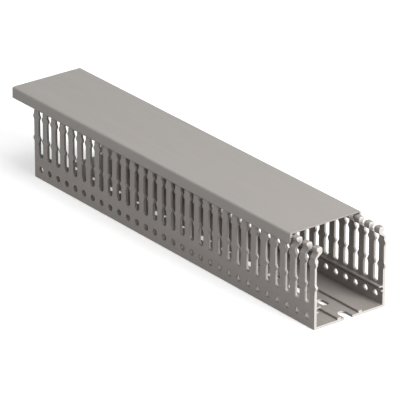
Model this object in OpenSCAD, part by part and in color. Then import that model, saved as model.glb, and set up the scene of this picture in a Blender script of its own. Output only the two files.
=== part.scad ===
// Slotted wire duct with a clip-on cover, as used in control cabinets.
// One cut length of each. The duct lies along X, and its fingers point up.
// The origin is the centre of the duct's underside. Units are millimetres.
// Every side wall is a comb: slots with two pairs of wire-retaining necks,
// and fingers that bend inward and end in a barbed bead. The cover's lips
// clip in under the beads, and it can also be slid along the duct.

/* [Duct] */
// Number of fingers along each side wall
finger_count = 31; // [12:1:41]
// Distance from one finger to the next
finger_pitch = 10; // [9:0.5:12]
// Outer width of the duct and of its cover
duct_w = 58; // [50:1:100]
// Height of the straight side walls, up to the bend of the fingers
wall_h = 49.4; // [47.4:1:90.4]
// Thickness of the floor
floor_t = 1.6; // [1.4:0.1:2.2]
// Thickness of the side walls up to the lower necks
wall_t = 2; // [1.8:0.1:2.4]
// Thickness of the fingers above the lower necks
finger_t = 1.65; // [1.4:0.05:1.8]

/* [Slots and side holes] */
// Clear width of a slot between two fingers
slot_w = 5; // [4.5:0.25:5.5]
// Height of the rounded bottom of the slots above the underside
slot_z = 15.7; // [15.6:0.1:18]
// Gap that a pair of necks leaves open in a slot
neck_gap = 2.8; // [2:0.2:4]
// Height of the middle of the lower necks above the underside
low_neck_z = 28.9; // [26.9:0.5:33.9]
// Distance from the middle of the upper necks up to the bend
top_neck_drop = 4.4; // [3.4:0.5:6.4]
// Diameter of the round holes in the side walls, one below each slot
side_hole_d = 4.6; // [3:0.2:5]
// Height of the side holes above the underside
side_hole_z = 7.3; // [6.5:0.1:8]

/* [Floor] */
// Distance between the middles of the two floor ribs
floor_rib_span = 17.2; // [15:0.2:24]
// Height of the floor ribs above the floor
floor_rib_h = 1.5; // [0.8:0.1:2]
// Width of the short fixing slots in the floor
short_slot_w = 5; // [4:0.25:6]
// Length of the short fixing slots in the floor
short_slot_l = 9.5; // [8:0.5:12]
// Width of the long fixing slots in the floor
long_slot_w = 6.5; // [5:0.25:7]
// Length of the long fixing slots in the floor
long_slot_l = 16; // [10:0.5:18]
// How far the row of fixing slots stands off the middle line, towards -Y
fixing_off = 1; // [0:0.1:1.5]

/* [Cover] */
// Length of the cover
cover_len = 305; // [200:1:320]
// How far the middle of the cover stands behind the middle of the duct
cover_back = 25.5; // [0:0.5:40]
// Thickness of the cover's top plate and legs
cover_t = 1.1; // [1:0.05:1.4]
// Clearance between the cover and the fingers
fit_gap = 0.2; // [0.15:0.01:0.3]

/* [Hidden] */
$fn = 48;
finger_w = finger_pitch - slot_w;
duct_len = (finger_count - 1) * finger_pitch + finger_w;
slot_count = finger_count - 1;
slot_r = slot_w / 2;
neck_in = (slot_w - neck_gap) / 2;
half_w = duct_w / 2;
top_neck_z = wall_h - top_neck_drop;

// fingers above the bend: a stem that leans inward and a bead on its end,
// whose outer side is drawn out into a barb over the stem
bend_r = 2;
barb_r = 0.95;
barb_y = half_w - cover_t - fit_gap - barb_r;
barb_z = wall_h + 5.95;
bead_r = 2.05;
bead_y = barb_y - 1.65;
bead_z = wall_h + 5.25;
head_top = bead_z + bead_r;

// ledges on the inside of the walls, below the slots
upper_ledge_z = 14.5;
upper_ledge_rise = 0.4;
lower_ledge_z = 11.5;
ledge_t = 0.9;
upper_ledge_in = 3.2;
lower_ledge_in = 1.3;

floor_rib_w = 2.8;
fixing_pitch = 25;
fixing_start = duct_len / 2 - 1.2;
fixing_count = floor((fixing_start + duct_len / 2) / fixing_pitch) + 1;

cover_top = head_top + fit_gap + cover_t;
cover_round = 1.4;
leg_in = half_w - cover_t;

// cover lip: a hook between the stem and the barb
lip_z = wall_h + 0.65;
tip_y = barb_y - 0.05;
tip_z = barb_z - 2.605;
lip_top = tip_z + (leg_in - tip_y) * 1.797;
far = duct_w + 20;

// points along an arc
function arc(y, z, r, a, b, n) = [
    for (i = [0 : n]) let (t = a + (b - a) * i / n) [y + r * cos(t), z + r * sin(t)]
];

// YZ section of one side wall with its ledges, on the +Y side
module wall_section() {
    in_low = half_w - wall_t;
    in_top = half_w - finger_t;
    polygon(concat(
        [[half_w, 0]],
        arc(half_w - bend_r, wall_h - bend_r * tan(22.5), bend_r, 0, 45, 3),
        arc(bead_y, bead_z, bead_r, -62, -29, 2),
        arc(barb_y, barb_z, barb_r, -29, 75, 4),
        arc(bead_y, bead_z, bead_r, 75, 180, 6),
        [
            [bead_y - bead_r, bead_z - 1.2],
            [bead_y - bead_r + 0.4, bead_z - 2.65],
            [in_top, wall_h - 0.2],
            [in_top, low_neck_z + 1],
            [in_low, low_neck_z - 1],
            [in_low, 0]
        ]
    ));
    polygon([
        [in_low + 0.5, upper_ledge_z - ledge_t / 2],
        [in_low + 0.5, upper_ledge_z + ledge_t / 2],
        [in_low, upper_ledge_z + ledge_t / 2],
        [in_low - upper_ledge_in, upper_ledge_z + upper_ledge_rise + ledge_t / 2],
        [in_low - upper_ledge_in, upper_ledge_z + upper_ledge_rise - ledge_t / 2],
        [in_low, upper_ledge_z - ledge_t / 2]
    ]);
    translate([in_low - lower_ledge_in, lower_ledge_z - ledge_t / 2])
        square([lower_ledge_in + 1, ledge_t]);
}

// YZ section of the whole duct
module duct_section() {
    translate([-half_w + 0.5, 0]) square([duct_w - 1, floor_t]);
    for (s = [-1, 1])
        translate([s * floor_rib_span / 2 - floor_rib_w / 2, floor_t / 2])
            square([floor_rib_w, floor_t / 2 + floor_rib_h]);
    wall_section();
    mirror([1, 0]) wall_section();
}

// one pair of necks, as points up the right edge of a slot
function neck(z) = [
    [slot_r, z - 2.3], [slot_r - neck_in, z - 0.5],
    [slot_r - neck_in, z + 0.5], [slot_r, z + 2.3]
];

// XZ outline that is punched out between two fingers. Its top rounds off
// the corners of the two beads beside it.
module slot_outline() {
    right = concat([[slot_r, slot_z + slot_r]], neck(low_neck_z), neck(top_neck_z), [
        [slot_r, head_top - 1.15], [slot_r + 0.3, head_top - 0.45],
        [slot_r + 1, head_top + 0.05], [slot_r + 1.2, head_top + 2]
    ]);
    left = [for (i = [len(right) - 1 : -1 : 0]) [-right[i][0], right[i][1]]];
    polygon(concat(right, left));
    translate([0, slot_z + slot_r]) circle(r = slot_r);
}

// a 2-D outline in X and Z as a cutter right across the duct
module across() {
    rotate([90, 0, 0]) linear_extrude(height = far, center = true) children();
}

// oblong hole through the floor, long along X
module fixing_slot(l, w) {
    translate([0, 0, -1]) {
        translate([-(l - w) / 2, -w / 2, 0]) cube([l - w, w, floor_t + 2]);
        for (s = [-1, 1])
            translate([s * (l - w) / 2, 0, 0]) cylinder(r = w / 2, h = floor_t + 2);
    }
}

module duct() {
    color([0.52, 0.51, 0.50])
    difference() {
        rotate([90, 0, 90])
            linear_extrude(height = duct_len + slot_w, center = true)
                duct_section();
        // the slots, and one more outline at each end for the last finger's edge
        for (i = [-1 : slot_count])
            translate([-duct_len / 2 + finger_w + slot_r + i * finger_pitch, 0, 0])
                across() slot_outline();
        // below the slots both ends are cut off square
        for (s = [-1, 1])
            translate([s * (duct_len / 2 + 5), 0, slot_z - 5])
                cube([10, far, 30], center = true);
        for (i = [0 : slot_count - 1])
            translate([-duct_len / 2 + finger_w + slot_r + i * finger_pitch, 0, side_hole_z])
                rotate([90, 0, 0])
                    cylinder(d = side_hole_d, h = far, center = true);
        for (i = [0 : fixing_count - 1])
            translate([fixing_start - i * fixing_pitch, -fixing_off, 0])
                if (i % 2 == 0) fixing_slot(long_slot_l, long_slot_w);
                else fixing_slot(short_slot_l, short_slot_w);
    }
}

// YZ section of the cover: a flat plate and two legs with inward lips
module cover_section() {
    difference() {
        union() {
            translate([-half_w, lip_z]) square([duct_w, cover_top - cover_round - lip_z]);
            translate([-half_w + cover_round, cover_top - 2 * cover_round])
                square([duct_w - 2 * cover_round, 2 * cover_round]);
            for (s = [-1, 1])
                translate([s * (half_w - cover_round), cover_top - cover_round])
                    circle(r = cover_round);
        }
        polygon([
            [tip_y, lip_z - 1],
            [tip_y, tip_z],
            [leg_in, lip_top],
            [leg_in, cover_top - cover_t],
            [-leg_in, cover_top - cover_t],
            [-leg_in, lip_top],
            [-tip_y, tip_z],
            [-tip_y, lip_z - 1]
        ]);
        for (s = [0, 1])
            mirror([s, 0])
                polygon([
                    [half_w + 1, lip_z - (tip_z - lip_z) / (half_w - tip_y)],
                    [tip_y - 0.5, tip_z + 0.5 * (tip_z - lip_z) / (half_w - tip_y)],
                    [tip_y - 0.5, lip_z - 2],
                    [half_w + 1, lip_z - 2]
                ]);
    }
}

module cover() {
    color([0.69, 0.67, 0.65])
    translate([-cover_back, 0, 0])
        rotate([90, 0, 90])
            linear_extrude(height = cover_len, center = true)
                cover_section();
}

duct();
cover();
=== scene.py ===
import math

import bpy
from mathutils import Matrix, Vector

# Lengths are in metres, lamp powers in watts, and colours are linear.
# the second colour on each line is the paler colour of sawn faces and edges: partly real, partly a painted
# highlight
DUCT_COLOUR, DUCT_SAWN_AND_LIT, DUCT_ROUGHNESS = (0.370, 0.338, 0.316), (0.69, 0.66, 0.625), 0.48
COVER_COLOUR, COVER_SAWN_AND_LIT, COVER_ROUGHNESS = (0.383, 0.359, 0.337), (0.40, 0.375, 0.355), 0.46
PVC_IOR = 1.52
PVC_SPECULAR = 0.25
# width of the paler band along edges, partly wear and partly a painted highlight
EDGE_WEAR_AND_HIGHLIGHT_WIDTH = 0.00045
BUMP_STRENGTH, BUMP_DEPTH = 0.12, 0.0002

FLOOR_SIZE = 40.0
FLOOR_Z = -0.0002
FLOOR_SEEN = (0.80, 0.82)
FLOOR_BOUNCE = 0.30
FLOOR_GLOW = 0.5
SKY_SEEN = 1.0
SKY_LIGHT = 0.13

# name, place, width, power
LAMPS = (
    ("key", (1.6, 0.25, 0.75), 0.8, 32),
    ("top", (0.3, 0.3, 1.9), 1.4, 17),
    ("fill", (-0.5, -1.8, 0.8), 1.4, 12),
)
LAMP_TARGET = (0, 0, 0.03)

CAMERA_AZIMUTH, CAMERA_ELEVATION = math.radians(52.63), math.radians(23.99)
CAMERA_DISTANCE = 2.61586
CAMERA_RIGHT, CAMERA_UP = -0.00241, 0.02575
CAMERA_LENS, CAMERA_SENSOR = 355.24, 36

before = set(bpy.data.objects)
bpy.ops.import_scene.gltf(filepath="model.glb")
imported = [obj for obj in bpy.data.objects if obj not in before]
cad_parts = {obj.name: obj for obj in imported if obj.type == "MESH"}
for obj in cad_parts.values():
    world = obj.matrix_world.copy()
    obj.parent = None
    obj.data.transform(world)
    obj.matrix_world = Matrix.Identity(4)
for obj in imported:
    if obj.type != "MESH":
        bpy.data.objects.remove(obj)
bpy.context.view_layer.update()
scene = bpy.context.scene


def grey(level):
    return (level, level, level, 1)


def shade(colour, factor=1.0):
    return tuple(min(1, c * factor) for c in colour) + (1,)


class Tree:
    """A few short calls for building the nodes of a material or a world."""

    def __init__(self, owner, output="ShaderNodeOutputMaterial"):
        owner.use_nodes = True
        self.nt = owner.node_tree
        self.nt.nodes.clear()
        self.out = self.nt.nodes.new(output)

    def add(self, kind, **inputs):
        n = self.nt.nodes.new(kind)
        for k, v in inputs.items():
            self.put(n.inputs[k.replace("_", " ")], v)
        return n

    def put(self, socket, v):
        if isinstance(v, bpy.types.NodeSocket):
            self.nt.links.new(v, socket)
        else:
            socket.default_value = v

    def math(self, op, a, b=0.5):
        n = self.nt.nodes.new("ShaderNodeMath")
        n.operation = op
        self.put(n.inputs[0], a)
        self.put(n.inputs[1], b)
        return n.outputs[0]

    def dot(self, a, b):
        n = self.nt.nodes.new("ShaderNodeVectorMath")
        n.operation = "DOT_PRODUCT"
        self.put(n.inputs[0], a)
        self.put(n.inputs[1], b)
        return n.outputs["Value"]

    def mix(self, fac, a, b):
        n = self.nt.nodes.new("ShaderNodeMix")
        n.data_type = "RGBA"
        self.put(n.inputs[0], fac)
        self.put(n.inputs[6], a)
        self.put(n.inputs[7], b)
        return n.outputs[2]

    def ramp(self, value, lo, hi, to_lo=0.0, to_hi=1.0):
        n = self.nt.nodes.new("ShaderNodeMapRange")
        self.put(n.inputs[0], value)
        for i, v in enumerate((lo, hi, to_lo, to_hi), 1):
            n.inputs[i].default_value = v
        return n.outputs[0]

    def seen(self):
        """1 for the rays that show the background, 0 for those that light the object."""
        path = self.add("ShaderNodeLightPath")
        camera_or_glossy = self.math("MAXIMUM", path.outputs["Is Camera Ray"], path.outputs["Is Glossy Ray"])
        return self.math("MAXIMUM", camera_or_glossy, path.outputs["Is Transmission Ray"])

    def finish(self, shader):
        self.nt.links.new(shader, self.out.inputs[0])


# ---------------------------------------------------------------- materials
def pvc(name, base, sawn_and_lit, rough):
    """Extruded rigid PVC: mottled, faintly streaked along X, with edges and the faces turned along X painted
    paler, partly wear and sawn surface, partly painted highlight.
    """
    mat = bpy.data.materials.new(name)
    t = Tree(mat)
    pos = t.add("ShaderNodeTexCoord").outputs["Object"]
    stretch = t.add("ShaderNodeMapping", Vector=pos, Scale=(9.0, 900.0, 900.0))
    streak = t.add("ShaderNodeTexNoise", Vector=stretch.outputs[0], Scale=1.0, Detail=3.0).outputs[0]
    mottle = t.add("ShaderNodeTexNoise", Vector=pos, Scale=38.0, Detail=4.0).outputs[0]
    grain = t.add("ShaderNodeTexNoise", Vector=pos, Scale=2600.0, Detail=2.0).outputs[0]
    colour = t.mix(t.ramp(mottle, 0.3, 0.7, 0.0, 0.5), shade(base, 0.95), shade(base, 1.05))
    colour = t.mix(t.ramp(streak, 0.35, 0.65, 0.0, 0.22), colour, shade(base, 0.86))

    # edges painted paler, from how far the bevelled normal leans from the true one: partly wear, partly a
    # painted highlight along the rims
    bevel = t.add("ShaderNodeBevel", Radius=EDGE_WEAR_AND_HIGHLIGHT_WIDTH)
    bevel.samples = 4
    normal = t.add("ShaderNodeNewGeometry").outputs["Normal"]
    edge_wear_and_highlight = t.ramp(t.dot(bevel.outputs[0], normal), 0.99, 0.80, 0.0, 0.35)
    colour = t.mix(t.math("MULTIPLY", edge_wear_and_highlight, t.ramp(mottle, 0.35, 0.6, 0.4, 1.0)), colour, shade(sawn_and_lit))

    # faces across the extrusion are painted paler: partly the paler punched and sawn surface, partly a
    # painted highlight on faces turned along X
    along = t.add("ShaderNodeSeparateXYZ", Vector=normal).outputs[0]
    lit_sawn_faces = t.ramp(t.math("ABSOLUTE", along), 0.55, 0.85, 0.0, 0.85)
    colour = t.mix(lit_sawn_faces, colour, shade(sawn_and_lit))

    roughness = t.math("ADD", t.ramp(streak, 0.3, 0.7, rough - 0.05, rough + 0.06),
                       t.ramp(mottle, 0.3, 0.7, -0.03, 0.04))
    height = t.math("ADD", t.math("MULTIPLY", streak, 0.6), t.math("MULTIPLY", grain, 0.35))
    bump = t.add("ShaderNodeBump", Height=height, Normal=bevel.outputs[0],
                 Strength=BUMP_STRENGTH, Distance=BUMP_DEPTH)
    plastic = t.add("ShaderNodeBsdfPrincipled", Base_Color=colour, Roughness=roughness,
                    Normal=bump.outputs[0], IOR=PVC_IOR, Specular_IOR_Level=PVC_SPECULAR)
    t.finish(plastic.outputs[0])
    return mat


def give(node, mat):
    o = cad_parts[node]
    if not o.material_slots:
        o.data.materials.append(mat)
    for s in o.material_slots:
        s.material = mat


give("duct", pvc("duct_pvc", DUCT_COLOUR, DUCT_SAWN_AND_LIT, DUCT_ROUGHNESS))
give("cover", pvc("cover_pvc", COVER_COLOUR, COVER_SAWN_AND_LIT, COVER_ROUGHNESS))


# ------------------------------------------------------------ floor and world
def floor_paint():
    """Pale where it is seen, darker for the light that it throws back on the object."""
    mat = bpy.data.materials.new("floor_paint")
    t = Tree(mat)
    noise = t.add("ShaderNodeTexNoise", Scale=2.0, Detail=2.0).outputs[0]
    seen = t.seen()
    pale = t.mix(noise, grey(FLOOR_SEEN[0]), grey(FLOOR_SEEN[1]))
    paint = t.add("ShaderNodeBsdfPrincipled", Base_Color=t.mix(seen, grey(FLOOR_BOUNCE), pale),
                  Roughness=0.9, Specular_IOR_Level=0.1)
    glow = t.add("ShaderNodeEmission", Strength=t.math("MULTIPLY", seen, FLOOR_GLOW))
    both = t.add("ShaderNodeAddShader")
    t.put(both.inputs[0], paint.outputs[0])
    t.put(both.inputs[1], glow.outputs[0])
    t.finish(both.outputs[0])
    return mat


def make_floor():
    s = FLOOR_SIZE / 2
    mesh = bpy.data.meshes.new("floor")
    corners = [(-s, -s), (s, -s), (s, s), (-s, s)]
    mesh.from_pydata([(x, y, FLOOR_Z) for x, y in corners], [], [(0, 1, 2, 3)])
    mesh.materials.append(floor_paint())
    floor = bpy.data.objects.new("floor", mesh)
    scene.collection.objects.link(floor)


def make_world():
    """White behind the object, with a dimmer light of its own."""
    scene.world = bpy.data.worlds.new("studio")
    t = Tree(scene.world, "ShaderNodeOutputWorld")
    light = t.add("ShaderNodeBackground", Color=grey(1), Strength=SKY_LIGHT)
    white = t.add("ShaderNodeBackground", Color=grey(1), Strength=SKY_SEEN)
    either = t.add("ShaderNodeMixShader")
    t.put(either.inputs[0], t.seen())
    t.put(either.inputs[1], light.outputs[0])
    t.put(either.inputs[2], white.outputs[0])
    t.finish(either.outputs[0])


def make_lamp(name, place, width, power):
    data = bpy.data.lights.new(name, "AREA")
    data.shape = "SQUARE"
    data.size = width
    data.energy = power
    lamp = bpy.data.objects.new(name, data)
    lamp.location = place
    lamp.rotation_mode = "QUATERNION"
    lamp.rotation_quaternion = (Vector(LAMP_TARGET) - Vector(place)).to_track_quat("-Z", "Y")
    scene.collection.objects.link(lamp)


make_floor()
make_world()
for row in LAMPS:
    make_lamp(*row)


# ------------------------------------------------------------------- camera
def make_camera():
    az, el = CAMERA_AZIMUTH, CAMERA_ELEVATION
    back = Vector((math.sin(az) * math.cos(el), -math.cos(az) * math.cos(el), math.sin(el)))
    right = Vector((math.cos(az), math.sin(az), 0))
    up = back.cross(right)
    place = back * CAMERA_DISTANCE + right * CAMERA_RIGHT + up * CAMERA_UP
    data = bpy.data.cameras.new("camera")
    data.sensor_width = CAMERA_SENSOR
    data.lens = CAMERA_LENS
    data.clip_start, data.clip_end = 0.1, 100
    camera = bpy.data.objects.new("camera", data)
    camera.matrix_world = Matrix((
        (right.x, up.x, back.x, place.x),
        (right.y, up.y, back.y, place.y),
        (right.z, up.z, back.z, place.z),
        (0, 0, 0, 1)))
    scene.collection.objects.link(camera)
    return camera


scene.camera = make_camera()
scene.view_settings.view_transform = "Standard"
